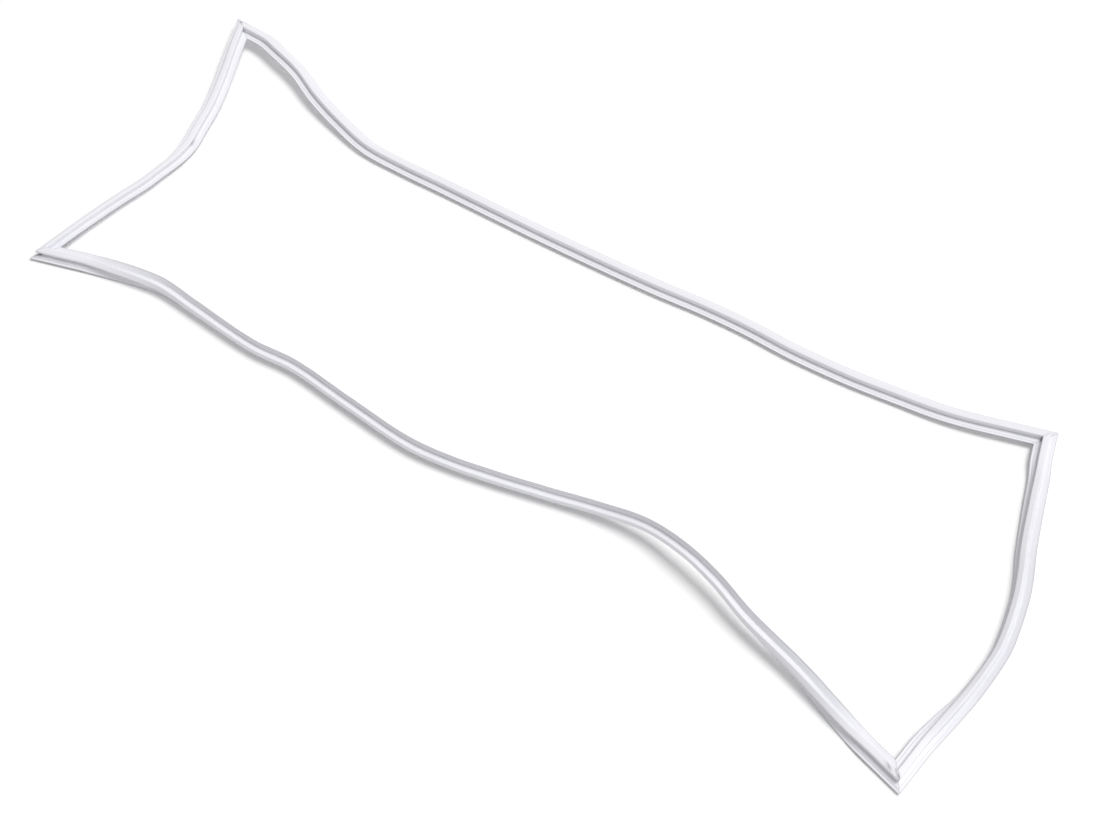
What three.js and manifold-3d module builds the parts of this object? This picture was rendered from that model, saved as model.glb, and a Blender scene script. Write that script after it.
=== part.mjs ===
// A door gasket for an upright refrigerator: one welded loop of soft hollow profile with four
// flexible magnet strips in its pocket, lying loose on a flat surface as it comes out of its packing.
// Millimetres, +Z up. The origin is under the middle of the loop, at the height of the surface.

import * as THREE from 'three';
import * as BufferGeometryUtils from 'three/addons/utils/BufferGeometryUtils.js';
import Module from 'manifold-3d';

// Size of the flat loop, measured along the middle of the profile from mitre to mitre
const LONG_SIDE = 1500;
const SHORT_SIDE = 582;

// Base flange, which hides the groove of the door liner
const FLANGE_WIDTH = 29;
const FLANGE_THICKNESS = 1.6;
const LIP_WIDTH = 3.8;
const LIP_THICKNESS = 1.0;

// Barbed dart under the flange, which is pressed into the groove
const DART_DEPTH = 5.5;
const DART_STEM = 2.2;
const DART_BARB_SPAN = 5.8;
const DART_BARB_DEPTH = 2.6;
const DART_TIP = 1.4;

// Neck above the flange, a folding air chamber
const NECK_WIDTH = 7.6;
const NECK_HEIGHT = 3.6;
const NECK_WALL = 0.9;

// Magnet pocket on the neck, whose flat top seals on the cabinet
const POCKET_WIDTH = 9.2;
const POCKET_HEIGHT = 5.8;
const POCKET_WALL = 0.9;
const SHOULDER = 1.2;

// Magnet strip, loose in the pocket
const STRIP_WIDTH = 6.2;
const STRIP_CLEARANCE = 0.3;

// Vent holes that let air out of the chambers, one near each mitre
const VENT_DIAMETER = 1.6;
const VENT_OFFSET = 1.8;
const VENT_FROM_MITRE = 24;
const VENT_SIDES = 8;

// The corners as they lie: how far each is drawn away from the corner of the flat rectangle in x
// and y, the clearance under it, and the angle by which the profile leans outwards there
const CORNERS = {
  rearLeft: { shift: [-26, -27], lift: 14, lean: 3 },
  rearRight: { shift: [-74, -13], lift: 4, lean: 0 },
  nearRight: { shift: [19, 11], lift: 0, lean: 10 },
  nearLeft: { shift: [58, 21], lift: 3, lean: 20 },
};

// The way each side lies between its corners: share of the way along it, bow outwards, clearance
// under it, and lean outwards. The first and last rows, with a share and a bow alone, end the
// stretches that run straight out of the corners.
const REAR_LAY = [
  [0.03, -1],
  [0.06, -11, 14, 5],
  [0.10, -28, 12, 9],
  [0.14, -53, 9, 6],
  [0.18, -71, 5, 4],
  [0.23, -88, 1, 4],
  [0.28, -89, 0, 2],
  [0.34, -86, 0, 1],
  [0.47, -81, 0, 0],
  [0.59, -72, 0, 0],
  [0.65, -64, 0, 0],
  [0.70, -61, 0, 0],
  [0.75, -62, 0, 0],
  [0.81, -57, 0, 0],
  [0.86, -48, 0, 0],
  [0.91, -38, 2, 0],
  [0.957, -20],
];
const RIGHT_LAY = [
  [0.06, 5],
  [0.12, 13, 3, -13],
  [0.19, 20, 3, -17],
  [0.33, 35, 2, -25],
  [0.40, 45, 1, -31],
  [0.47, 52, 0, -32],
  [0.60, 56, 0, -32],
  [0.68, 50, 0, -30],
  [0.76, 39, 0, -21],
  [0.84, 24, 0, -4],
  [0.92, 10],
];
const NEAR_LAY = [
  [0.03, -11],
  [0.07, -28, 2, 36],
  [0.115, -49, 5, 56],
  [0.178, -72, 12, 74],
  [0.22, -93, 18, 82],
  [0.26, -107, 20, 88],
  [0.305, -114, 14, 91],
  [0.355, -104, 4, 93],
  [0.403, -86, 0, 94],
  [0.45, -67, 0, 94],
  [0.50, -50, 0, 94],
  [0.545, -42, 0, 92],
  [0.62, -47, 0, 90],
  [0.69, -53, 0, 90],
  [0.74, -46, 0, 90],
  [0.82, -50, 0, 80],
  [0.866, -52, 0, 66],
  [0.894, -45, 1, 54],
  [0.925, -34, 2, 40],
  [0.96, -20],
];
const LEFT_LAY = [
  [0.06, -8],
  [0.16, -21, 2, 18],
  [0.25, -34, 1, 16],
  [0.34, -49, 0, 14],
  [0.40, -56, 0, 11],
  [0.47, -63, 0, 4],
  [0.53, -63, 0, -3],
  [0.60, -57, 2, -4],
  [0.69, -49, 4, -2],
  [0.79, -35, 8, 0],
  [0.93, -12],
];

// Facets along the loop
const LONG_STEPS = 30;
const SHORT_STEPS = 15;

const UP = new THREE.Vector3(0, 0, 1);

const softPvc = new THREE.MeshStandardMaterial({ color: 0xd9d9de, roughness: 0.42, metalness: 0 });
const magnetRubber = new THREE.MeshStandardMaterial({ color: 0x4a4644, roughness: 0.75, metalness: 0 });

// Profile sections, as points (across, above): across is positive towards the outside of the loop,
// and above is measured from the underside of the flange. Outer walls run anticlockwise.

const pocketFloor = FLANGE_THICKNESS + NECK_HEIGHT;
const profileTop = pocketFloor + POCKET_HEIGHT;
const stripBottom = pocketFloor + POCKET_WALL + STRIP_CLEARANCE;
const stripTop = profileTop - POCKET_WALL - STRIP_CLEARANCE;

// The right half of a symmetrical outline, from the bottom up, and its mirror image
function symmetrical(rightHalf) {
  const leftHalf = rightHalf.map(([across, above]) => [-across, above]).reverse();
  return [...rightHalf, ...leftHalf];
}

function outerWall() {
  const flangeEdge = FLANGE_WIDTH / 2;
  const neck = NECK_WIDTH / 2;
  const pocket = POCKET_WIDTH / 2;
  const fillet = 0.6;
  return symmetrical([
    [DART_TIP / 2, -DART_DEPTH],
    [DART_BARB_SPAN / 2, -DART_BARB_DEPTH],
    [DART_STEM / 2, -DART_BARB_DEPTH + fillet / 2],
    [DART_STEM / 2, 0],
    [flangeEdge - LIP_THICKNESS / 2, 0],
    [flangeEdge, LIP_THICKNESS / 2],
    [flangeEdge - LIP_THICKNESS / 2, LIP_THICKNESS],
    [flangeEdge - LIP_WIDTH, LIP_THICKNESS],
    [flangeEdge - LIP_WIDTH - fillet, FLANGE_THICKNESS],
    [neck + fillet, FLANGE_THICKNESS],
    [neck, FLANGE_THICKNESS + fillet],
    [neck, pocketFloor - fillet],
    [pocket - SHOULDER / 2, pocketFloor],
    [pocket, pocketFloor + SHOULDER / 2],
    [pocket, profileTop - SHOULDER],
    [pocket - SHOULDER / 3, profileTop - SHOULDER / 3],
    [pocket - SHOULDER, profileTop],
  ]);
}

function airChamber() {
  const half = NECK_WIDTH / 2 - NECK_WALL;
  return symmetrical([
    [half, FLANGE_THICKNESS],
    [half, pocketFloor],
  ]);
}

function magnetPocket() {
  const half = POCKET_WIDTH / 2 - POCKET_WALL;
  return symmetrical([
    [half - SHOULDER / 2, pocketFloor + POCKET_WALL],
    [half, pocketFloor + POCKET_WALL + SHOULDER / 2],
    [half, profileTop - POCKET_WALL - SHOULDER / 2],
    [half - SHOULDER / 2, profileTop - POCKET_WALL],
  ]);
}

function magnetStripSection() {
  return symmetrical([
    [STRIP_WIDTH / 2, stripBottom],
    [STRIP_WIDTH / 2, stripTop],
  ]);
}

// Route of the loop

function corner(name, xSign, ySign) {
  const { shift: [dx, dy], lift, lean } = CORNERS[name];
  const place = new THREE.Vector2(xSign * LONG_SIDE / 2 + dx, ySign * SHORT_SIDE / 2 + dy);
  return { place, lift, lean };
}

const rearLeft = corner('rearLeft', -1, 1);
const rearRight = corner('rearRight', 1, 1);
const nearRight = corner('nearRight', 1, -1);
const nearLeft = corner('nearLeft', -1, -1);

// A side from one corner to the next, with its lay table completed by the corners' own values
function sideBetween(name, start, end, table, steps) {
  const straightStart = [...table[0], start.lift, start.lean];
  const straightEnd = [...table[table.length - 1], end.lift, end.lean];
  const lay = [
    [0, 0, start.lift, start.lean],
    straightStart,
    ...table.slice(1, -1),
    straightEnd,
    [1, 0, end.lift, end.lean],
  ];
  return { name, from: start.place, to: end.place, lay, steps };
}

// The sides in order round the loop, clockwise from above, so that the outside is on the left
const sides = [
  sideBetween('rear', rearLeft, rearRight, REAR_LAY, LONG_STEPS),
  sideBetween('right', rearRight, nearRight, RIGHT_LAY, SHORT_STEPS),
  sideBetween('near', nearRight, nearLeft, NEAR_LAY, LONG_STEPS),
  sideBetween('left', nearLeft, rearLeft, LEFT_LAY, SHORT_STEPS),
];

// Value and slope of one column of a lay table at a share of the way: a smooth curve through
// the points, whose slope at a point is that of the line between its two neighbours
function layValue(lay, column, share) {
  const last = lay.length - 1;
  let i = 0;
  while (i < last - 1 && share > lay[i + 1][0]) i += 1;
  const secant = (a, b) => (lay[b][column] - lay[a][column]) / (lay[b][0] - lay[a][0]);
  const slopeAt = (k) => {
    if (k <= 1) return secant(0, 1);
    if (k >= last - 1) return secant(last - 1, last);
    return secant(k - 1, k + 1);
  };
  const width = lay[i + 1][0] - lay[i][0];
  const t = (share - lay[i][0]) / width;
  const [p0, p1] = [lay[i][column], lay[i + 1][column]];
  const [m0, m1] = [slopeAt(i) * width, slopeAt(i + 1) * width];
  const value = p0 * (1 + 2 * t) * (1 - t) ** 2 + m0 * t * (1 - t) ** 2
    + p1 * t * t * (3 - 2 * t) - m1 * t * t * (1 - t);
  const change = (p1 - p0) * 6 * t * (1 - t) + m0 * (1 - t) * (1 - 3 * t) + m1 * t * (3 * t - 2);
  return { value, slope: change / width };
}

// The frame of the profile at a share of the way along a side
function frameAt(side, share) {
  const chord = side.to.clone().sub(side.from);
  const length = chord.length();
  const along = new THREE.Vector3(chord.x / length, chord.y / length, 0);
  const sideways = new THREE.Vector3().crossVectors(UP, along);
  const bow = layValue(side.lay, 1, share);
  const lift = layValue(side.lay, 2, share);
  const lean = THREE.MathUtils.degToRad(layValue(side.lay, 3, share).value);
  const tangent = along.clone().multiplyScalar(length).addScaledVector(sideways, bow.slope);
  tangent.normalize();
  const outwards = new THREE.Vector3().crossVectors(UP, tangent);
  const across = outwards.clone().multiplyScalar(Math.cos(lean)).addScaledVector(UP, -Math.sin(lean));
  const above = outwards.clone().multiplyScalar(Math.sin(lean)).addScaledVector(UP, Math.cos(lean));
  const drop = Math.min(...outerWall().map(([u, v]) => u * across.z + v * above.z));
  const origin = new THREE.Vector3(side.from.x, side.from.y, Math.max(lift.value, 0) - drop);
  origin.addScaledVector(along, share * length).addScaledVector(sideways, bow.value);
  return { origin, tangent, across, above };
}

function pointOn(frame, [u, v]) {
  return frame.origin.clone().addScaledVector(frame.across, u).addScaledVector(frame.above, v);
}

// The shares at which a side has a ring of points, both ends left out
function innerShares(side) {
  const first = side.lay[1][0];
  const last = side.lay[side.lay.length - 2][0];
  return Array.from({ length: side.steps + 1 }, (_, i) => first + ((last - first) * i) / side.steps);
}

// A ring on the mitre plane where one side meets the next
function mitreRing(side, nextSide, section) {
  const frame = frameAt(side, 1);
  const next = frameAt(nextSide, 0);
  const normal = frame.tangent.clone().add(next.tangent).normalize();
  return section.map((point) => {
    const p = pointOn(frame, point);
    const gap = frame.origin.clone().sub(p).dot(normal) / frame.tangent.dot(normal);
    return p.addScaledVector(frame.tangent, gap);
  });
}

// A skin over rings of points: closed on itself, or with flat ends. The skin of a hollow faces
// inwards, with its facets split along the same diagonals as those of the strip inside it.
function skin(rings, closed, hollow = false) {
  const count = rings[0].length;
  const positions = rings.flat().flatMap((p) => [p.x, p.y, p.z]);
  const index = [];
  const spans = closed ? rings.length : rings.length - 1;
  for (let i = 0; i < spans; i += 1) {
    const here = i * count;
    const there = ((i + 1) % rings.length) * count;
    for (let j = 0; j < count; j += 1) {
      const k = (j + 1) % count;
      index.push(here + j, here + k, there + k, here + j, there + k, there + j);
    }
  }
  if (!closed) {
    const end = (rings.length - 1) * count;
    for (let j = 1; j < count - 1; j += 1) {
      index.push(0, j + 1, j, end, end + j, end + j + 1);
    }
  }
  if (hollow) index.reverse();
  return { positions, index };
}

function loopSkin(section, hollow = false) {
  const rings = sides.flatMap((side, i) => {
    const nextSide = sides[(i + 1) % sides.length];
    const own = innerShares(side).map((share) => section.map((point) => pointOn(frameAt(side, share), point)));
    return [...own, mitreRing(side, nextSide, section)];
  });
  return skin(rings, true, hollow);
}

function geometryOf(...skins) {
  const positions = [];
  const index = [];
  for (const piece of skins) {
    const offset = positions.length / 3;
    positions.push(...piece.positions);
    index.push(...piece.index.map((i) => i + offset));
  }
  const geometry = new THREE.BufferGeometry();
  geometry.setAttribute('position', new THREE.Float32BufferAttribute(positions, 3));
  geometry.setIndex(index);
  return geometry;
}

// Booleans

const wasm = await Module();
wasm.setup();

function toSolid(geometry) {
  const vertProperties = new Float32Array(geometry.attributes.position.array);
  const triVerts = new Uint32Array(geometry.index.array);
  return new wasm.Manifold(new wasm.Mesh({ numProp: 3, vertProperties, triVerts }));
}

function toGeometry(solid) {
  const { vertProperties, triVerts } = solid.getMesh();
  const geometry = new THREE.BufferGeometry();
  geometry.setAttribute('position', new THREE.Float32BufferAttribute(Array.from(vertProperties), 3));
  geometry.setIndex(Array.from(triVerts));
  return geometry;
}

// A vent from under the flange through the air chamber into the pocket
function vent(side) {
  const distance = side.from.distanceTo(side.to);
  const frame = frameAt(side, VENT_FROM_MITRE / distance);
  const bottom = -FLANGE_THICKNESS / 2;
  const top = pocketFloor + 2 * POCKET_WALL;
  const drill = new THREE.CylinderGeometry(
    VENT_DIAMETER / 2, VENT_DIAMETER / 2, top - bottom, VENT_SIDES);
  drill.deleteAttribute('normal');
  drill.deleteAttribute('uv');
  const centre = pointOn(frame, [VENT_OFFSET, (top + bottom) / 2]);
  const turn = new THREE.Matrix4().makeBasis(frame.across, frame.above, frame.across.clone().cross(frame.above));
  turn.setPosition(centre);
  return BufferGeometryUtils.mergeVertices(drill).applyMatrix4(turn);
}

function gasket() {
  const outside = loopSkin(outerWall());
  const chamber = loopSkin(airChamber(), true);
  const pocket = loopSkin(magnetPocket(), true);
  let solid = toSolid(geometryOf(outside, chamber, pocket));
  for (const side of sides) {
    solid = solid.subtract(toSolid(vent(side)));
  }
  const mesh = new THREE.Mesh(toGeometry(solid), softPvc);
  mesh.name = 'gasket_profile';
  return mesh;
}

function magnetStrip(side) {
  const section = magnetStripSection();
  const rings = innerShares(side).map((share) => section.map((point) => pointOn(frameAt(side, share), point)));
  const mesh = new THREE.Mesh(geometryOf(skin(rings, false)), magnetRubber);
  mesh.name = `magnet_strip_${side.name}`;
  return mesh;
}

const part = new THREE.Group();
part.add(gasket());
for (const side of sides) {
  part.add(magnetStrip(side));
}

// The origin goes under the middle of the whole loop
const box = new THREE.Box3().setFromObject(part);
const middle = box.getCenter(new THREE.Vector3());
for (const mesh of part.children) {
  mesh.geometry.translate(-middle.x, -middle.y, -box.min.z);
}

export default part;
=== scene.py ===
# %% [markdown]
# Refrigerator door gasket
#
# A door gasket is one long loop of soft, hollow, extruded PVC, welded at four mitred corners.
# Out of its packing it never lies flat: each side bows, leans over and lifts off the table a
# little. A curve object with a bevel could carry a profile round a loop, but it pinches sharp
# corners and leans by a rule of its own. So the rings of the sweep are worked out with numpy,
# and every bow, lean and mitre is where the lay tables put it.

import bpy
import numpy as np
from mathutils import Matrix, Vector


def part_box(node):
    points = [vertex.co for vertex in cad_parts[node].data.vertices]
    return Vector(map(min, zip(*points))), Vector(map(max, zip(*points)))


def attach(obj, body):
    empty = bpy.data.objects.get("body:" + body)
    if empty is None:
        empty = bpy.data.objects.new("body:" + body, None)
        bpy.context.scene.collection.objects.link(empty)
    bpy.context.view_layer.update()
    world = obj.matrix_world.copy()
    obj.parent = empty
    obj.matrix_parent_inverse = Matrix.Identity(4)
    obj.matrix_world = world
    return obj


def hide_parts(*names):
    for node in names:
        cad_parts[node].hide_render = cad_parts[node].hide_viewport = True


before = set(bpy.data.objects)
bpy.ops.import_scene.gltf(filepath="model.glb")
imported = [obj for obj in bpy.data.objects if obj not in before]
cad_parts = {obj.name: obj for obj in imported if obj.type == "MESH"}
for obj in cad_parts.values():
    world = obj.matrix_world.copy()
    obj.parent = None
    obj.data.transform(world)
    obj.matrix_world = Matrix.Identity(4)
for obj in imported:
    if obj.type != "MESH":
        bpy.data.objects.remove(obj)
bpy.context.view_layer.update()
MM = 0.001
print("solids in the frame:", sorted(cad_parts))


def new_object(name, data):
    """An object of that name with that data, linked to the scene."""
    made = bpy.data.objects.new(name, data)
    bpy.context.scene.collection.objects.link(made)
    return made


# %% [markdown]
# The camera comes first, so that every later choice can be judged in the picture. A camera is
# a place, a direction and a lens. A Track To constraint could aim it, but not roll it, so its
# three axes are worked out from how far it is turned, how steeply it looks down and how much
# it is rolled. They are the columns of its matrix.

# %% The camera
IMAGE_WIDTH = 1104
FOCAL_PIXELS = 1960
SENSOR_WIDTH = 36.0
CAMERA_PLACE = (1.123, -1.389, 2.151)
CAMERA_TURN = np.radians(37.864)
CAMERA_DOWN = np.radians(52.0)
CAMERA_ROLL = np.radians(-1.9)


def camera_axes(turn, down, roll):
    """Right, up and backward axes: level axes turned about Z, tilted down, then rolled."""
    level_right = np.array([np.cos(turn), np.sin(turn), 0.0])
    level_forward = np.array([-np.sin(turn), np.cos(turn), 0.0])
    forward = level_forward * np.cos(down) - np.array([0, 0, np.sin(down)])
    level_up = level_forward * np.sin(down) + np.array([0, 0, np.cos(down)])
    right = level_right * np.cos(roll) + level_up * np.sin(roll)
    up = level_up * np.cos(roll) - level_right * np.sin(roll)
    return right, up, -forward


camera_data = bpy.data.cameras.new("camera")
camera_data.sensor_width = SENSOR_WIDTH
camera_data.lens = FOCAL_PIXELS * SENSOR_WIDTH / IMAGE_WIDTH
camera = new_object("camera", camera_data)
camera_turn = Matrix(np.column_stack(camera_axes(CAMERA_TURN, CAMERA_DOWN, CAMERA_ROLL)).tolist())
camera.matrix_world = Matrix.Translation(CAMERA_PLACE) @ camera_turn.to_4x4()
bpy.context.scene.camera = camera
print("lens in mm:", round(camera_data.lens, 2))

# %% [markdown]
# The profile is what the extruder makes: a wide thin flange with a soft lip on each edge, a
# barbed dart below it that is pressed into the door, a narrow neck with an air chamber, and a
# pocket for the magnet strip. It could be drawn point by point, but a few sizes say it all, in
# millimetres across the loop and above the underside of the flange, and its left half mirrors
# its right half.

# %% Sizes of the profile
FLANGE_WIDTH = 29.0
FLANGE_THICKNESS = 1.6
LIP_WIDTH = 3.8
LIP_THICKNESS = 1.0
DART_DEPTH = 5.5
DART_STEM = 2.2
DART_BARB_SPAN = 5.8
DART_BARB_DEPTH = 2.6
DART_TIP = 1.4
NECK_WIDTH = 7.6
NECK_HEIGHT = 3.6
NECK_WALL = 0.9
POCKET_WIDTH = 9.2
POCKET_HEIGHT = 5.8
POCKET_WALL = 0.9
SHOULDER = 1.2
FILLET = 0.6
POCKET_FLOOR = FLANGE_THICKNESS + NECK_HEIGHT
PROFILE_TOP = POCKET_FLOOR + POCKET_HEIGHT


def mirrored(right_half):
    """The outline's right half, from the bottom up, followed by its mirror image."""
    right = np.array(right_half, float)
    return np.vstack([right, (right * (-1, 1))[::-1]])


def outer_corners():
    """The corners of the outer wall, anticlockwise."""
    edge, neck, pocket = FLANGE_WIDTH / 2, NECK_WIDTH / 2, POCKET_WIDTH / 2
    return mirrored([
        (DART_TIP / 2, -DART_DEPTH),
        (DART_BARB_SPAN / 2, -DART_BARB_DEPTH),
        (DART_STEM / 2, -DART_BARB_DEPTH + FILLET / 2),
        (DART_STEM / 2, 0),
        (edge - LIP_THICKNESS / 2, 0),
        (edge, LIP_THICKNESS / 2),
        (edge - LIP_THICKNESS / 2, LIP_THICKNESS),
        (edge - LIP_WIDTH, LIP_THICKNESS),
        (edge - LIP_WIDTH - FILLET, FLANGE_THICKNESS),
        (neck + FILLET, FLANGE_THICKNESS),
        (neck, FLANGE_THICKNESS + FILLET),
        (neck, POCKET_FLOOR - FILLET),
        (pocket - SHOULDER / 2, POCKET_FLOOR),
        (pocket, POCKET_FLOOR + SHOULDER / 2),
        (pocket, PROFILE_TOP - SHOULDER),
        (pocket - SHOULDER / 3, PROFILE_TOP - SHOULDER / 3),
        (pocket - SHOULDER, PROFILE_TOP),
    ])


print("outer wall corners:", len(outer_corners()))

# %% [markdown]
# An extruded edge is never sharp. A Bevel modifier could round the finished mesh, but it would
# also work on the seams and on the places where rings stand close. Here each corner of the
# outline gives way to a short curve before anything is swept. Long flat edges are then
# divided, so that the mesh has points to bend where the soft material is dented.

# %% Rounding and dividing an outline
ROUNDING = 0.45
ROUND_STEPS = 3
EDGE_SHARE = 0.45
LONGEST_EDGE = 3.4


def rounded(corners, reach, steps):
    """For a corner P with curve ends A and B: (1-t)^2 A + 2t(1-t) P + t^2 B, for t from 0 to 1.
    A and B lie on P's two edges, at the reach or at EDGE_SHARE of the edge if that is nearer."""
    def on_edge(neighbour):
        edge = neighbour - corners
        length = np.linalg.norm(edge, axis=1, keepdims=True)
        return corners + edge / length * np.minimum(reach, EDGE_SHARE * length)

    a, b = on_edge(np.roll(corners, 1, axis=0)), on_edge(np.roll(corners, -1, axis=0))
    t = np.linspace(0, 1, steps)[None, :, None]
    curve = (1 - t) ** 2 * a[:, None] + 2 * t * (1 - t) * corners[:, None] + t**2 * b[:, None]
    return curve.reshape(-1, 2)


def divided(outline, longest):
    """Every edge of the outline cut into equal parts that are no longer than the limit."""
    edge = np.roll(outline, -1, axis=0) - outline
    parts = np.ceil(np.linalg.norm(edge, axis=1) / longest).astype(int)
    first = np.repeat(np.cumsum(parts) - parts, parts)
    fraction = (np.arange(parts.sum()) - first) / np.repeat(parts, parts)
    return np.repeat(outline, parts, axis=0) + fraction[:, None] * np.repeat(edge, parts, axis=0)


outer_outline = divided(rounded(outer_corners(), ROUNDING, ROUND_STEPS), LONGEST_EDGE)
print("outer wall points:", len(outer_outline))

# %% [markdown]
# The hollow inside is part of the object too: an air chamber in the neck, and above it the
# pocket that holds the magnet strip. A Solidify modifier would give one wall thickness all
# over, which the real profile hasn't, so each hollow has an outline of its own. Both are plain
# shapes, because nobody sees them.

# %% Outlines of the two hollows
def air_chamber():
    """A rectangle between the flange and the pocket's floor, one neck wall in from the neck."""
    half = NECK_WIDTH / 2 - NECK_WALL
    return mirrored([(half, FLANGE_THICKNESS), (half, POCKET_FLOOR)])


def magnet_pocket():
    """A rectangle with cut corners, one pocket wall inside the pocket."""
    half, cut = POCKET_WIDTH / 2 - POCKET_WALL, SHOULDER / 2
    low, high = POCKET_FLOOR + POCKET_WALL, PROFILE_TOP - POCKET_WALL
    return mirrored([(half - cut, low), (half, low + cut), (half, high - cut), (half - cut, high)])


print("hollow outlines:", len(air_chamber()), "and", len(magnet_pocket()), "points")

# %% [markdown]
# The loop is four sides between four corners. A cloth simulation could drop a loop on a table,
# but it would not land as this one lies. How each side lies is told by a lay table instead: at
# a share of the way along it, how far it bows outwards, how high it is off the table and how
# many degrees it leans outwards. A smooth curve through the rows gives every place between.

# %% How the loop lies
LONG_SIDE = 1500.0
SHORT_SIDE = 582.0

# Each corner's shift from the flat rectangle in x and y, its clearance and its lean
CORNERS = {
    "rear_left": ((-1, 1), (-26, -27), 14, 3),
    "rear_right": ((1, 1), (-74, -13), 4, 0),
    "near_right": ((1, -1), (19, 11), 0, 10),
    "near_left": ((-1, -1), (58, 21), 3, 20),
}
# Share, bow, clearance and lean, the last two left out where they are the nearest corner's
REAR_LAY = [
    (0.03, -1), (0.06, -11, 14, 5), (0.10, -28, 12, 9), (0.14, -53, 9, 6), (0.18, -71, 5, 4),
    (0.23, -88, 1, 4), (0.28, -89, 0, 2), (0.34, -86, 0, 1), (0.47, -81, 0, 0),
    (0.59, -72, 0, 0), (0.65, -64, 0, 0), (0.70, -61, 0, 0), (0.75, -62, 0, 0),
    (0.81, -57, 0, 0), (0.86, -48, 0, 0), (0.91, -38, 2, 0), (0.957, -20),
]
RIGHT_LAY = [
    (0.06, 5), (0.12, 13, 3, -13), (0.19, 20, 3, -17), (0.33, 35, 2, -25), (0.40, 45, 1, -31),
    (0.47, 52, 0, -32), (0.60, 56, 0, -32), (0.68, 50, 0, -30), (0.76, 39, 0, -21),
    (0.84, 24, 0, -4), (0.92, 10),
]
NEAR_LAY = [
    (0.03, -11), (0.07, -28, 2, 36), (0.115, -49, 5, 56), (0.178, -72, 12, 74),
    (0.22, -93, 18, 82), (0.26, -107, 20, 88), (0.305, -114, 14, 91), (0.355, -104, 4, 93),
    (0.403, -86, 0, 94), (0.45, -67, 0, 94), (0.50, -50, 0, 94), (0.545, -42, 0, 92),
    (0.62, -47, 0, 90), (0.69, -53, 0, 90), (0.74, -46, 0, 90), (0.82, -50, 0, 80),
    (0.866, -52, 0, 66), (0.894, -45, 1, 54), (0.925, -34, 2, 40), (0.96, -20),
]
LEFT_LAY = [
    (0.06, -8), (0.16, -21, 2, 18), (0.25, -34, 1, 16), (0.34, -49, 0, 14), (0.40, -56, 0, 11),
    (0.47, -63, 0, 4), (0.53, -63, 0, -3), (0.60, -57, 2, -4), (0.69, -49, 4, -2),
    (0.79, -35, 8, 0), (0.93, -12),
]


def side_of_loop(start, end, rows):
    """A side's two corner points and its whole lay table, ends completed from the corners."""
    def corner(name):
        sign, shift, lift, lean = CORNERS[name]
        half = np.array([LONG_SIDE, SHORT_SIDE]) / 2
        return np.array(sign) * half + np.array(shift), (lift, lean)

    (start_point, start_lay), (end_point, end_lay) = corner(start), corner(end)
    table = [(0, 0, *start_lay), (*rows[0], *start_lay), *rows[1:-1],
             (*rows[-1], *end_lay), (1, 0, *end_lay)]
    return start_point, end_point, np.array(table, float)


SIDES = {
    "rear": side_of_loop("rear_left", "rear_right", REAR_LAY),
    "right": side_of_loop("rear_right", "near_right", RIGHT_LAY),
    "near": side_of_loop("near_right", "near_left", NEAR_LAY),
    "left": side_of_loop("near_left", "rear_left", LEFT_LAY),
}
print("rows in each lay table:", {name: len(side[2]) for name, side in SIDES.items()})


# %% A smooth curve through a lay table
def lay_column(table, column, share):
    """Value and slope of one column at each share. Between two rows, with t the fraction of
    the way: p0 (1+2t)(1-t)^2 + m0 t(1-t)^2 + p1 t^2(3-2t) - m1 t^2(1-t). The slope m at a
    row is that of the line between its two neighbours, and both end spans are straight."""
    x, y = table[:, 0], table[:, column]
    secant = np.diff(y) / np.diff(x)
    slope = np.empty(len(x))
    slope[2:-2] = (y[3:-1] - y[1:-3]) / (x[3:-1] - x[1:-3])
    slope[:2], slope[-2:] = secant[0], secant[-1]
    row = np.clip(np.searchsorted(x, share) - 1, 0, len(x) - 2)
    width = x[row + 1] - x[row]
    t = (share - x[row]) / width
    p0, p1, m0, m1 = y[row], y[row + 1], slope[row] * width, slope[row + 1] * width
    value = (p0 * (1 + 2 * t) * (1 - t) ** 2 + m0 * t * (1 - t) ** 2
             + p1 * t * t * (3 - 2 * t) - m1 * t * t * (1 - t))
    change = (p1 - p0) * 6 * t * (1 - t) + m0 * (1 - t) * (1 - 3 * t) + m1 * t * (3 * t - 2)
    return value, change / width


# %% The profile's own axes along a side
RIDGE_SAMPLES = 400


def axes_along(side, share):
    """Origin, tangent, across and above at each share. The tangent is level. With outwards =
    up x tangent: across = outwards cos(lean) - up sin(lean), above = outwards sin(lean) +
    up cos(lean). The origin is as high as keeps the lowest corner at the clearance."""
    start, end, table = side
    length = np.linalg.norm(end - start)
    along = (end - start) / length
    sideways = np.array([-along[1], along[0]])
    bow, bow_slope = lay_column(table, 1, share)
    lift, _ = lay_column(table, 2, share)
    lean = np.radians(lay_column(table, 3, share)[0])[:, None]
    tangent = np.zeros((len(share), 3))
    tangent[:, :2] = along * length + sideways * bow_slope[:, None]
    tangent /= np.linalg.norm(tangent, axis=1, keepdims=True)
    up = np.array([0.0, 0.0, 1.0])
    outwards = np.cross(up, tangent)
    across = outwards * np.cos(lean) - up * np.sin(lean)
    above = outwards * np.sin(lean) + up * np.cos(lean)
    lowest = np.stack([across[:, 2], above[:, 2]], axis=1) @ outer_corners().T
    origin = np.zeros((len(share), 3))
    origin[:, :2] = start + share[:, None] * (end - start) + bow[:, None] * sideways
    origin[:, 2] = np.maximum(lift, 0) - lowest.min(axis=1)
    return origin, tangent, across, above


def axes_at(name, share):
    """The same four axes at one share of the named side."""
    return [axis[0] for axis in axes_along(SIDES[name], np.array([share]))]


for name, side in SIDES.items():
    ridge = axes_along(side, np.linspace(0, 1, RIDGE_SAMPLES))[0]
    print(name, "side is", round(np.linalg.norm(np.diff(ridge, axis=0), axis=1).sum()), "mm long")

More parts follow.
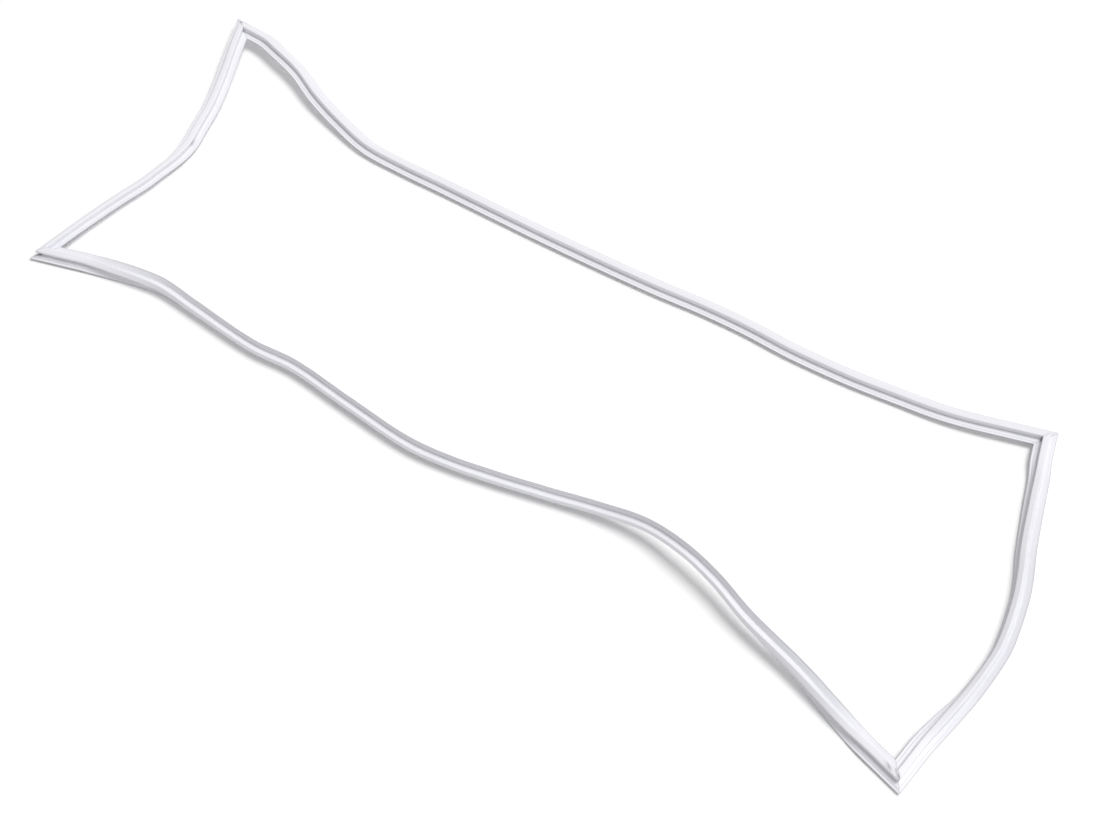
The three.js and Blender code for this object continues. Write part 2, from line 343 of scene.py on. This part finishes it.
# %% [markdown]
# A swept skin needs rings of points. Evenly spaced rings would be too many on the long plain
# stretches or too few at the welds, so they stand closer together at the mitres, where small
# things happen. At a mitre the last ring lies in the plane that halves the corner, and the
# rings before it turn towards that plane step by step, so that no two rings cross.

# %% Where the rings stand
MITRE_REACH = 34.0
MITRE_FINE = 9.0
SPACING_SAMPLES = 4000


def ring_distances(length, coarse, fine):
    """Distances from 0 to the length, with the spacing coarse - (coarse - fine) e^(-(d/w)^2)
    at a distance d from the nearer end: the places where the integral of one over the spacing
    reaches each step."""
    x = np.linspace(0, length, SPACING_SAMPLES)
    nearer = np.minimum(x, length - x)
    spacing = coarse - (coarse - fine) * np.exp(-((nearer / MITRE_FINE) ** 2))
    rings_per_mm = 0.5 * (1 / spacing[1:] + 1 / spacing[:-1])
    steps = np.concatenate([[0], np.cumsum(rings_per_mm * np.diff(x))])
    return np.interp(np.linspace(0, steps[-1], int(np.ceil(steps[-1])) + 1), steps, x)


# %% Carrying an outline along a side
def carried(outline, origin, across, above):
    """Origin + x across + y above, for every ring and every outline point (x, y)."""
    return (origin[:, None] + outline[None, :, :1] * across[:, None]
            + outline[None, :, 1:] * above[:, None])


def outline_normals(outline):
    """Unit normals of an anticlockwise outline: at each point the direction from the point
    before to the point after, turned a quarter turn to the right."""
    along = np.roll(outline, -1, axis=0) - np.roll(outline, 1, axis=0)
    normals = np.stack([along[:, 1], -along[:, 0]], axis=1)
    return normals / np.linalg.norm(normals, axis=1, keepdims=True)


def mitre_gap(tangent, normal, across, above, outline):
    """How far along the tangent each outline point is from the mitre plane with that normal."""
    offset = outline[:, :1] * across + outline[:, 1:] * above
    return -(offset @ normal) / (tangent @ normal)


def turned_to_mitre(ring, tangent, own, other, away, outline):
    """Rings pushed along their tangents by the gap to the mitre plane times 1 - away/reach.
    The plane's normal is halfway between the two sides' tangents at the mitre."""
    halfway = own[1] + other[1]
    gap = mitre_gap(own[1], halfway / np.linalg.norm(halfway), own[2], own[3], outline)
    share = np.clip(1 - away / MITRE_REACH, 0, 1)
    return ring + share[:, None, None] * gap[None, :, None] * tangent[:, None]


# %% Rings round the whole loop
def loop_rings(outline, coarse, fine):
    """Points (ring, outline point, xyz) of the outline carried round the loop, the unit
    normals there, each ring's across and above axes, its distance along the loop, and its
    distance from the nearer mitre."""
    names = list(SIDES)
    flat_normals = outline_normals(outline)
    parts, travelled = [], 0.0
    for i, name in enumerate(names):
        start, end, _ = SIDES[name]
        length = np.linalg.norm(end - start)
        distance = ring_distances(length, coarse, fine)[:-1]
        origin, tangent, across, above = axes_along(SIDES[name], distance / length)
        ring = carried(outline, origin, across, above)
        end_before, start_after = axes_at(names[i - 1], 1.0), axes_at(names[(i + 1) % len(names)], 0.0)
        for own, other, away in ((axes_at(name, 0.0), end_before, distance),
                                 (axes_at(name, 1.0), start_after, length - distance)):
            ring = turned_to_mitre(ring, tangent, own, other, away, outline)
        normal = carried(flat_normals, np.zeros_like(across), across, above)
        to_mitre = np.minimum(distance, length - distance)
        parts.append((ring, normal, across, above, distance + travelled, to_mitre))
        travelled += length
    return [np.concatenate(column) for column in zip(*parts)]


# %% The outer wall's rings
RING_SPACING = 5.5
WELD_RING_SPACING = 0.8
HOLLOW_SPACING = 6.0

side_start = {}
loop_length = 0.0
for name, (start, end, _) in SIDES.items():
    side_start[name] = loop_length
    loop_length += np.linalg.norm(end - start)
print("loop length in mm, mitre to mitre:", round(loop_length))

skin_points, skin_normals, ring_across, ring_above, ring_place, ring_to_mitre = loop_rings(
    outer_outline, RING_SPACING, WELD_RING_SPACING)
print("rings:", len(skin_points), "triangles:", 2 * skin_points[..., 0].size)

# %% [markdown]
# Soft PVC isn't as true as steel. The lips ripple a little, the pocket sways, and the hot
# weld leaves a fine sunk seam between two low ridges at each mitre. A Displace modifier could
# push the surface by a texture, but it knows nothing of lips and welds. So each of these is
# written as a function of the place along the loop and on the profile.

# %% Ripples and sway
LIP_RIPPLE = 0.35
POCKET_SWAY = 0.30

# Whole turns round the loop and phases of the sines in each wave
OUTER_LIP_WAVES = ((37, 53, 88), (0.3, 2.1, 4.4))
INNER_LIP_WAVES = ((41, 61, 97), (1.7, 0.4, 3.2))
POCKET_WAVES = ((19, 31, 47), (0.9, 3.3, 5.1))


def wave(place, turns, phases):
    """The mean of sines with whole numbers of turns round the loop, so that it closes."""
    angle = 2 * np.pi * place[:, None] / loop_length
    return np.sin(angle * np.array(turns) + np.array(phases)).mean(axis=1)


from_lip = np.abs(outer_outline[:, 0]) - FLANGE_WIDTH / 2 + LIP_WIDTH
lip_share = np.clip(from_lip / LIP_WIDTH, 0, 1)
outer_lip = lip_share * (outer_outline[:, 0] > 0)
inner_lip = lip_share * (outer_outline[:, 0] < 0)
outer_wave = 0.5 + 0.5 * wave(ring_place, *OUTER_LIP_WAVES)
inner_wave = 0.5 + 0.5 * wave(ring_place, *INNER_LIP_WAVES)
above_flange = outer_outline[:, 1] - FLANGE_THICKNESS
pocket_share = np.clip(above_flange / (PROFILE_TOP - FLANGE_THICKNESS), 0, 1)
sway = wave(ring_place, *POCKET_WAVES)
print("largest lip ripple in mm:", round(LIP_RIPPLE * float(outer_wave.max()), 2))

# %% The weld seams
WELD_SINK = 0.35
WELD_SINK_WIDTH = 0.9
WELD_RIDGE = 0.22
WELD_RIDGE_PLACE = 2.0
WELD_RIDGE_WIDTH = 0.9
weld = (-WELD_SINK * np.exp(-((ring_to_mitre / WELD_SINK_WIDTH) ** 2))
        + WELD_RIDGE * np.exp(-(((ring_to_mitre - WELD_RIDGE_PLACE) / WELD_RIDGE_WIDTH) ** 2)))
loose = np.clip(ring_to_mitre / MITRE_REACH, 0, 1)
print("weld seam's lowest and highest place in mm:", weld.min().round(2), weld.max().round(2))

# %% [markdown]
# Folded in its box, the soft profile also picked up marks: pinched pits where the bulb meets
# at a mitre, two dents beside the near right corner, a kink in the left side's groove, and
# small wrinkles on the flange at the rear left. They could be sculpted by hand, but a table
# can be read and changed: each mark is a rounded patch that sinks by depth times
# e^(-(d/along)^2 - (r/round)^2), d being the distance along the loop and r that on the profile.
# The same patch, scaled by its last column, paints shade into the colour, near black in the pits.

# %% Marks of handling
# Side, distance along it, spot on the profile, reach along, reach round, depth and painted shade
MARKS = [
    ("near", 0.0, (2.0, PROFILE_TOP), 2.4, 2.1, 1.2, 1.0),
    ("near", 3.5, (-1.8, PROFILE_TOP), 1.5, 2.0, 0.6, 0.7),
    ("near", 15.0, (1.2, PROFILE_TOP), 4.0, 1.7, 0.8, 0.85),
    ("right", 0.0, (-3.9, 3.6), 2.6, 2.6, 0.9, 1.0),
    ("right", -4.5, (-12.4, LIP_THICKNESS), 1.6, 1.4, 0.2, 0.4),
    ("left", 0.0, (3.9, 3.6), 3.0, 3.0, 0.8, 1.0),
    ("left", 291.0, (-3.9, 3.6), 6.5, 2.6, 0.6, 0.45),
    ("rear", 0.0, (3.2, PROFILE_TOP), 2.2, 2.4, 0.9, 0.9),
    ("rear", 2.0, (8.5, FLANGE_THICKNESS), 2.0, 2.4, 0.3, 0.3),
    ("rear", 5.5, (10.5, LIP_THICKNESS), 1.3, 3.2, 0.4, 0.35),
    ("rear", 10.0, (11.5, LIP_THICKNESS), 1.5, 3.0, 0.4, 0.35),
]
# Each mark sinks the surface and paints shade into the colour where it sinks
mark_push = np.zeros(skin_points.shape[:2])
mark_shade_mask = np.zeros(skin_points.shape[:2])
for side_name, distance, spot, along, round_about, depth, mark_shade in MARKS:
    from_spot = ring_place - side_start[side_name] - distance
    from_spot = (from_spot + loop_length / 2) % loop_length - loop_length / 2
    off_spot = np.linalg.norm(outer_outline - np.array(spot), axis=1)
    patch = np.exp(-((from_spot[:, None] / along) ** 2) - (off_spot[None, :] / round_about) ** 2)
    mark_push -= depth * patch
    mark_shade_mask = np.maximum(mark_shade_mask, mark_shade * patch)
print("marks:", len(MARKS), "deepest in mm:", round(-float(mark_push.min()), 2))

# %% Pushing the surface
ripple = LIP_RIPPLE * (outer_wave[:, None] * outer_lip**2 + inner_wave[:, None] * inner_lip**2)
lean_over = POCKET_SWAY * sway[:, None] * pocket_share**2
along_normal = weld[:, None] + mark_push
skin_points = (skin_points
               + (loose[:, None] * ripple)[..., None] * ring_above[:, None]
               + (loose[:, None] * lean_over)[..., None] * ring_across[:, None]
               + along_normal[..., None] * skin_normals)
print("largest sway in mm:", round(float(np.abs(lean_over).max()), 2))


# %% [markdown]
# A closed skin joins each ring to the next, and the last to the first. Bridging edge loops by
# hand would do the same. Arrays of indices do it at once, and every face's direction is known:
# outwards on the outer wall and inwards on a hollow. The texture coordinates run in metres
# along the loop and round the profile, so that a pattern can follow the extrusion.

# %% Putting a skin into a mesh
def skin_faces(rings, count, hollow):
    """Quads (ring, next ring) x (point, next point), both closing on themselves."""
    i, j = np.meshgrid(np.arange(rings), np.arange(count), indexing="ij")
    corners = [(i, j), (i, j + 1), (i + 1, j + 1), (i + 1, j)]
    if hollow:
        corners.reverse()
    quads = np.stack([(a % rings) * count + b % count for a, b in corners], axis=-1)
    grid = np.stack([np.stack(corner, axis=-1) for corner in corners], axis=2)
    return quads.reshape(-1, 4), grid.reshape(-1, 2)


def mesh_of_skins(name, skins):
    """One mesh from several skins, each given as points in mm, its rings' places along the
    loop, its outline and whether it is hollow. U is the place, v the length round the outline."""
    positions, quads, uvs, offset = [], [], [], 0
    for points, places, outline, hollow in skins:
        faces, grid = skin_faces(*points.shape[:2], hollow)
        edge = np.linalg.norm(np.roll(outline, -1, axis=0) - outline, axis=1)
        v = np.concatenate([[0], np.cumsum(edge)])
        u = np.concatenate([places, [loop_length]])
        positions.append(points.reshape(-1, 3) * MM)
        quads.append(faces + offset)
        uvs.append(np.stack([u[grid[:, 0]], v[grid[:, 1]]], axis=-1) * MM)
        offset += points.shape[0] * points.shape[1]
    positions, quads, uvs = (np.concatenate(a) for a in (positions, quads, uvs))
    mesh = bpy.data.meshes.new(name)
    mesh.from_pydata(positions, [], quads)
    mesh.uv_layers.new(name="extrusion").uv.foreach_set("vector", uvs.astype(np.float32).ravel())
    mesh.polygons.foreach_set("use_smooth", np.ones(len(quads), bool))
    mesh.update()
    return mesh


# %% The gasket's skin, placed where the solid is
skins = [(skin_points, ring_place, outer_outline, False)]
for outline in (air_chamber(), magnet_pocket()):
    points, _, _, _, places, _ = loop_rings(outline, HOLLOW_SPACING, HOLLOW_SPACING / 2)
    skins.append((points, places, outline, True))
low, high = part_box("gasket_profile")
middle = np.array((low + high) / 2) / MM
own_middle = (skin_points.reshape(-1, 3).max(axis=0) + skin_points.reshape(-1, 3).min(axis=0)) / 2
shift = np.array([middle[0] - own_middle[0], middle[1] - own_middle[1], 0.0])
skins = [(points + shift, *rest) for points, *rest in skins]
gasket = new_object("gasket", mesh_of_skins("gasket", skins))
print("shift in mm:", shift.round(2), "triangles:", 2 * len(gasket.data.polygons))

# %% The seams and the marks' painted shade as attributes of the surface
WELD_MASK_WIDTH = 1.4
weld_mask = np.exp(-((ring_to_mitre / WELD_MASK_WIDTH) ** 2))[:, None] * np.ones(len(outer_outline))
for name, mask in {"weld": weld_mask, "mark_shade": mark_shade_mask}.items():
    values = np.zeros(len(gasket.data.vertices), np.float32)
    values[:mask.size] = mask.ravel()
    gasket.data.attributes.new(name, "FLOAT", "POINT").data.foreach_set("value", values)
    print(name, "is above one half at", int((mask > 0.5).sum()), "points")

# %% [markdown]
# A finish is a graph of nodes. It could be wired up socket by socket, but plain arithmetic is
# far easier to read. So a small class wraps a socket and lets it be added, multiplied and so
# on, and any other kind of node comes from one method of the finish.


# %% Sockets in plain arithmetic
class Signal:
    """An output socket whose arithmetic adds Math nodes to its finish."""

    def __init__(self, finish, socket):
        self.finish, self.socket = finish, socket

    def _with(self, operation, first, second):
        return self.finish.node("ShaderNodeMath", {"operation": operation}, {0: first, 1: second})

    def __add__(self, other):
        return self._with("ADD", self, other)

    def __sub__(self, other):
        return self._with("SUBTRACT", self, other)

    def __rsub__(self, other):
        return self._with("SUBTRACT", other, self)

    def __mul__(self, other):
        return self._with("MULTIPLY", self, other)

    __radd__ = __add__
    __rmul__ = __mul__


# %% A finish and its nodes
class Finish:
    """A material with a Principled shader, constants on its own sockets."""

    def __init__(self, name, **constants):
        self.material = bpy.data.materials.new(name)
        self.material.use_nodes = True
        self.tree = self.material.node_tree
        self.shader = self.tree.nodes["Principled BSDF"]
        for socket, value in constants.items():
            self.shader.inputs[socket.replace("_", " ")].default_value = value

    def node(self, kind, settings, sockets, output=0):
        """A node of that kind: its settings first, then the values or links of its sockets."""
        made = self.tree.nodes.new(kind)
        for name, value in settings.items():
            setattr(made, name, value)
        self.join(made, sockets)
        return Signal(self, made.outputs[output])

    def join(self, node, sockets):
        """Each named or numbered input of a node gets a link from a signal, or a value."""
        for key, value in sockets.items():
            if isinstance(value, Signal):
                self.tree.links.new(value.socket, node.inputs[key])
            else:
                node.inputs[key].default_value = value

    def noise(self, vector, scale, detail=2.0, roughness=0.5):
        """Soft noise from 0 to 1, with features of about 1/scale in the vector's units."""
        return self.node("ShaderNodeTexNoise", {"noise_dimensions": "3D"},
                         {"Vector": vector, "Scale": scale, "Detail": detail, "Roughness": roughness})

    def mixed(self, factor, a, b):
        """Colour a turning into colour b as the factor goes from 0 to 1."""
        return self.node("ShaderNodeMix", {"data_type": "RGBA"}, {0: factor, 6: a, 7: b}, output=2)

    def band(self, signal, centre, half_width):
        """1 where the signal is at the centre, falling smoothly to 0 at half the width away."""
        away = self.node("ShaderNodeMath", {"operation": "ABSOLUTE"}, {0: signal - centre})
        return self.node("ShaderNodeMapRange", {"interpolation_type": "SMOOTHSTEP"},
                         {"Value": away, "From Min": half_width, "From Max": 0.0})

    def stretched(self, vector, scale):
        """A vector with each axis scaled."""
        return self.node("ShaderNodeMapping", {}, {"Vector": vector, "Scale": scale})


# %% [markdown]
# Soft PVC is a satin plastic, pale grey with a breath of lavender. Close up it has faint
# lines drawn along it by the extruder's die, a fine grain, and cloudy patches where the
# plasticiser has bloomed. Painted shade darkens the thin rim and the step of each lip and
# the groove on each side of the neck, and the weld is a little duller. All of this could be
# painted as an image, but then it would fit one mesh only. What follows the profile uses
# the distance round it instead, which is the second texture coordinate.

# %% Where the lines round the profile are
edge_lengths = np.linalg.norm(np.diff(outer_outline, axis=0), axis=1)
round_profile = np.concatenate([[0], np.cumsum(edge_lengths)])
STEP_ACROSS = FLANGE_WIDTH / 2 - LIP_WIDTH - FILLET / 2


def round_places(across, above):
    """Metres round the profile to the outline points nearest to (across, above) and to its
    mirror image."""
    nearest = [np.argmin(np.linalg.norm(outer_outline - (x, above), axis=1)) for x in (across, -across)]
    return [float(round_profile[point]) * MM for point in nearest]


# Places of the painted shade lines: the rim and the step of each lip, and the sides of the neck
RIM_LINES = round_places(FLANGE_WIDTH / 2, LIP_THICKNESS / 2)
STEP_LINES = round_places(STEP_ACROSS, FLANGE_THICKNESS)
NECK_LINES = round_places(NECK_WIDTH / 2, FLANGE_THICKNESS + FILLET)
print("rims at", [round(v, 4) for v in RIM_LINES], "m round the profile")

# %% Colours and scales of soft PVC
PVC_PALE = (0.88, 0.88, 0.915, 1.0)
PVC_SHADE = (0.79, 0.79, 0.835, 1.0)
PVC_WELD = (0.60, 0.60, 0.64, 1.0)
# The next three colours are painted shade: on the rim and step of each lip, beside the neck, and in the
# marks
PVC_RIM_SHADE = (0.40, 0.40, 0.44, 1.0)
PVC_GROOVE_SHADE = (0.50, 0.49, 0.51, 1.0)
PVC_MARK_SHADE = (0.045, 0.035, 0.04, 1.0)

# Features to a metre: even in all directions, or along, round and through the profile
CLOUD_SCALE = 9.0
GRAIN_SCALE = 1400.0
DIE_LINE_SCALE = (2.5, 900.0, 1.0)

# Metres to each side of the painted shade lines round the profile
RIM_HALF_WIDTH = 0.0015
STEP_HALF_WIDTH = 0.0007
GROOVE_HALF_WIDTH = 0.0022

# Height of the grain and the die lines in metres, and how much of it the bump shows
GRAIN_HEIGHT = 0.0003
GRAIN_STRENGTH = 0.25
print("clouds are about", round(1 / CLOUD_SCALE, 2), "m wide, grain", round(1 / GRAIN_SCALE, 4), "m")

# %% How strongly each feature of soft PVC shows
# Shares of the two patterns in the shade, then how far each feature covers what is below it
CLOUD_SHADE = 0.75
LINE_SHADE = 0.25
# The rim, step and groove covers paint shade into the colour; the seam cover is the weld's own duller
# tone
RIM_SHADE_COVER = 0.9
STEP_SHADE_COVER = 0.35
SEAM_COVER = 0.7
GROOVE_SHADE_COVER = 0.10
GROOVE_SHADE_IN_CLOUDS = 0.25

# Roughness of the clean surface, and what each feature adds to it
PVC_ROUGHNESS = 0.34
CLOUD_ROUGHNESS = 0.16
LINE_ROUGHNESS = 0.08
SEAM_ROUGHNESS = 0.12
GROOVE_ROUGHNESS = 0.2

# Shares of the two patterns in the bump
LINE_BUMP = 0.7
GRAIN_BUMP = 0.3
roughest = PVC_ROUGHNESS + CLOUD_ROUGHNESS + LINE_ROUGHNESS + SEAM_ROUGHNESS + GROOVE_ROUGHNESS
print("roughness runs from", PVC_ROUGHNESS, "to", round(roughest, 2))

# %% The soft PVC finish
soft_pvc = Finish("soft_pvc", IOR=1.5, Specular_IOR_Level=0.5)
place = soft_pvc.node("ShaderNodeTexCoord", {}, {}, output="Object")
extrusion = soft_pvc.node("ShaderNodeUVMap", {"uv_map": "extrusion"}, {})
around = soft_pvc.node("ShaderNodeSeparateXYZ", {}, {0: extrusion}, output="Y")
clouds = soft_pvc.noise(place, CLOUD_SCALE, detail=3.0)
grain = soft_pvc.noise(place, GRAIN_SCALE, detail=1.0)
die_lines = soft_pvc.noise(soft_pvc.stretched(extrusion, DIE_LINE_SCALE), 1.0, detail=2.0)
seam = soft_pvc.node("ShaderNodeAttribute", {"attribute_name": "weld"}, {}, output="Fac")
# The marks' painted shade, read from the surface attribute
mark_shade = soft_pvc.node("ShaderNodeAttribute", {"attribute_name": "mark_shade"}, {}, output="Fac")
# Painted shade: thin dark lines on the rim and the steps of each lip, and dark bands beside the neck
rim_shade = sum(soft_pvc.band(around, line, RIM_HALF_WIDTH) for line in RIM_LINES)
steps = sum(soft_pvc.band(around, line, STEP_HALF_WIDTH) for line in STEP_LINES)
groove_shade = sum(soft_pvc.band(around, line, GROOVE_HALF_WIDTH) for line in NECK_LINES)
cloudy = soft_pvc.mixed(CLOUD_SHADE * clouds + LINE_SHADE * die_lines, PVC_PALE, PVC_SHADE)
# The colour takes painted shade at the lip lines and beside the neck, the weld's duller tone, and the
# marks' painted shade
rim_shaded = soft_pvc.mixed(RIM_SHADE_COVER * rim_shade + STEP_SHADE_COVER * steps, cloudy, PVC_RIM_SHADE)
# Painted shade beside the neck, a little stronger where the clouds are
groove_shaded = soft_pvc.mixed(groove_shade * (GROOVE_SHADE_COVER + GROOVE_SHADE_IN_CLOUDS * clouds), rim_shaded, PVC_GROOVE_SHADE)
welded = soft_pvc.mixed(SEAM_COVER * seam, groove_shaded, PVC_WELD)
soft_pvc.join(soft_pvc.shader, {
    "Base Color": soft_pvc.mixed(mark_shade, welded, PVC_MARK_SHADE),
    "Roughness": (PVC_ROUGHNESS + CLOUD_ROUGHNESS * clouds + LINE_ROUGHNESS * die_lines
                  + SEAM_ROUGHNESS * seam + GROOVE_ROUGHNESS * groove_shade),
    "Normal": soft_pvc.node("ShaderNodeBump", {}, {
        "Height": LINE_BUMP * die_lines + GRAIN_BUMP * grain,
        "Strength": GRAIN_STRENGTH, "Distance": GRAIN_HEIGHT}),
})
gasket.data.materials.append(soft_pvc.material)
print("soft_pvc nodes:", len(soft_pvc.tree.nodes))

# %% [markdown]
# The magnet strips lie loose inside the pocket, cut short of the mitres. They are rubber
# filled with ferrite powder: nearly black, matt, and finely speckled. A long box bent by a
# Curve modifier would do, but each one has to lean with its side, so it is swept along the
# same curve as the pocket round it.

# %% The magnet rubber finish
RUBBER_DARK = (0.05, 0.045, 0.045, 1.0)
RUBBER_PALE = (0.11, 0.10, 0.10, 1.0)
SPECKLE_SCALE = 2200.0
PATCH_SCALE = 60.0
SPECKLE_HEIGHT = 0.0002
SPECKLE_STRENGTH = 0.3
RUBBER_ROUGHNESS = 0.68
PATCH_ROUGHNESS = 0.16

magnet_rubber = Finish("magnet_rubber", IOR=1.5)
place = magnet_rubber.node("ShaderNodeTexCoord", {}, {}, output="Object")
speckle = magnet_rubber.noise(place, SPECKLE_SCALE, detail=2.0)
patches = magnet_rubber.noise(place, PATCH_SCALE)
magnet_rubber.join(magnet_rubber.shader, {
    "Base Color": magnet_rubber.mixed(0.5 * speckle + 0.5 * patches, RUBBER_DARK, RUBBER_PALE),
    "Roughness": RUBBER_ROUGHNESS + PATCH_ROUGHNESS * patches,
    "Normal": magnet_rubber.node("ShaderNodeBump", {}, {
        "Height": speckle, "Strength": SPECKLE_STRENGTH, "Distance": SPECKLE_HEIGHT}),
})
print("magnet_rubber nodes:", len(magnet_rubber.tree.nodes))

# %% The magnet strips
STRIP_WIDTH = 6.2
STRIP_CLEARANCE = 0.3
STRIP_ROUNDING = 0.4


def magnet_strip(name, side, outline):
    """The outline carried along the side between the lay table's straight ends, with one
    many-sided face across each end."""
    start, end, table = side
    rings, count = int(np.linalg.norm(end - start) / HOLLOW_SPACING), len(outline)
    origin, _, across, above = axes_along(side, np.linspace(table[1, 0], table[-2, 0], rings))
    points = carried(outline, origin, across, above)
    walls = skin_faces(rings, count, False)[0][:(rings - 1) * count].tolist()
    first_cap, last_cap = list(range(count))[::-1], list(range((rings - 1) * count, rings * count))
    mesh = bpy.data.meshes.new(name)
    mesh.from_pydata((points.reshape(-1, 3) + shift) * MM, [], [*walls, first_cap, last_cap])
    mesh.materials.append(magnet_rubber.material)
    return new_object(name, mesh)


strip_low = POCKET_FLOOR + POCKET_WALL + STRIP_CLEARANCE
strip_high = PROFILE_TOP - POCKET_WALL - STRIP_CLEARANCE
strip_outline = rounded(mirrored([(STRIP_WIDTH / 2, strip_low), (STRIP_WIDTH / 2, strip_high)]),
                        STRIP_ROUNDING, ROUND_STEPS)
for name, side in SIDES.items():
    strip = magnet_strip("strip_" + name, side, strip_outline)
    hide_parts("magnet_strip_" + name)
    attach(strip, "root")
    print(strip.name, "faces:", len(strip.data.polygons))

# %% The gasket stands for its solid
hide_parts("gasket_profile")
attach(gasket, "root")
print("gasket faces:", len(gasket.data.polygons))

# %% [markdown]
# The floor is a plain pale sheet, like a photographer's table. A curved backdrop would hide
# the horizon too, but a sheet far larger than the object does it with one face. A thin
# variation in its finish keeps it from looking like a flat fill.

# %% The floor
WHITE = (1.0, 1.0, 1.0, 1.0)
FLOOR_HALF = 30.0
FLOOR_SHADE = (0.90, 0.90, 0.90, 1.0)
FLOOR_PALE = (0.92, 0.92, 0.92, 1.0)
FLOOR_GLOW = 0.05
FLOOR_CLOUD_SCALE = 3.0
FLOOR_GRAIN_SCALE = 20.0
FLOOR_ROUGHNESS = 0.75
FLOOR_GRAIN_ROUGHNESS = 0.1

floor_corners = [(x * FLOOR_HALF, y * FLOOR_HALF, 0.0) for x, y in ((-1, -1), (1, -1), (1, 1), (-1, 1))]
floor_mesh = bpy.data.meshes.new("floor")
floor_mesh.from_pydata(floor_corners, [], [(0, 1, 2, 3)])
floor = new_object("floor", floor_mesh)
table_top = Finish("table_top", Emission_Color=WHITE, Emission_Strength=FLOOR_GLOW)
place = table_top.node("ShaderNodeTexCoord", {}, {}, output="Object")
table_top.join(table_top.shader, {
    "Base Color": table_top.mixed(
        table_top.noise(place, FLOOR_CLOUD_SCALE), FLOOR_SHADE, FLOOR_PALE),
    "Roughness": FLOOR_ROUGHNESS + FLOOR_GRAIN_ROUGHNESS * table_top.noise(place, FLOOR_GRAIN_SCALE),
})
floor.data.materials.append(table_top.material)
print("floor is", 2 * FLOOR_HALF, "m square")

# %% [markdown]
# The light of the photograph is soft, high, and comes from the right and a little from
# behind: walls that face left or forwards are grey, and shadows fall softly to the left. An
# area lamp close by would light one end of the loop more than the other, so a broad lamp at a
# great distance stands in for it, and a bright plain world fills the rest.

# %% Light
KEY_DIRECTION = (0.36, 0.24, 1.0)
KEY_ANGLE = np.radians(32.0)
KEY_STRENGTH = 2.15
WORLD_STRENGTH = 0.43

key_data = bpy.data.lights.new("key", "SUN")
key_data.angle = KEY_ANGLE
key_data.energy = KEY_STRENGTH
key = new_object("key", key_data)
key.rotation_mode = "QUATERNION"
key.rotation_quaternion = Vector(KEY_DIRECTION).to_track_quat("Z", "Y")
world = bpy.data.worlds.new("studio")
world.use_nodes = True
background = world.node_tree.nodes["Background"]
background.inputs["Color"].default_value = WHITE
background.inputs["Strength"].default_value = WORLD_STRENGTH
bpy.context.scene.world = world
bpy.context.scene.view_settings.view_transform = "Standard"
print("key lamp from", [round(v, 2) for v in key.rotation_quaternion @ Vector((0, 0, 1))])

# %% A last update of the scene, and the end
bpy.context.view_layer.update()
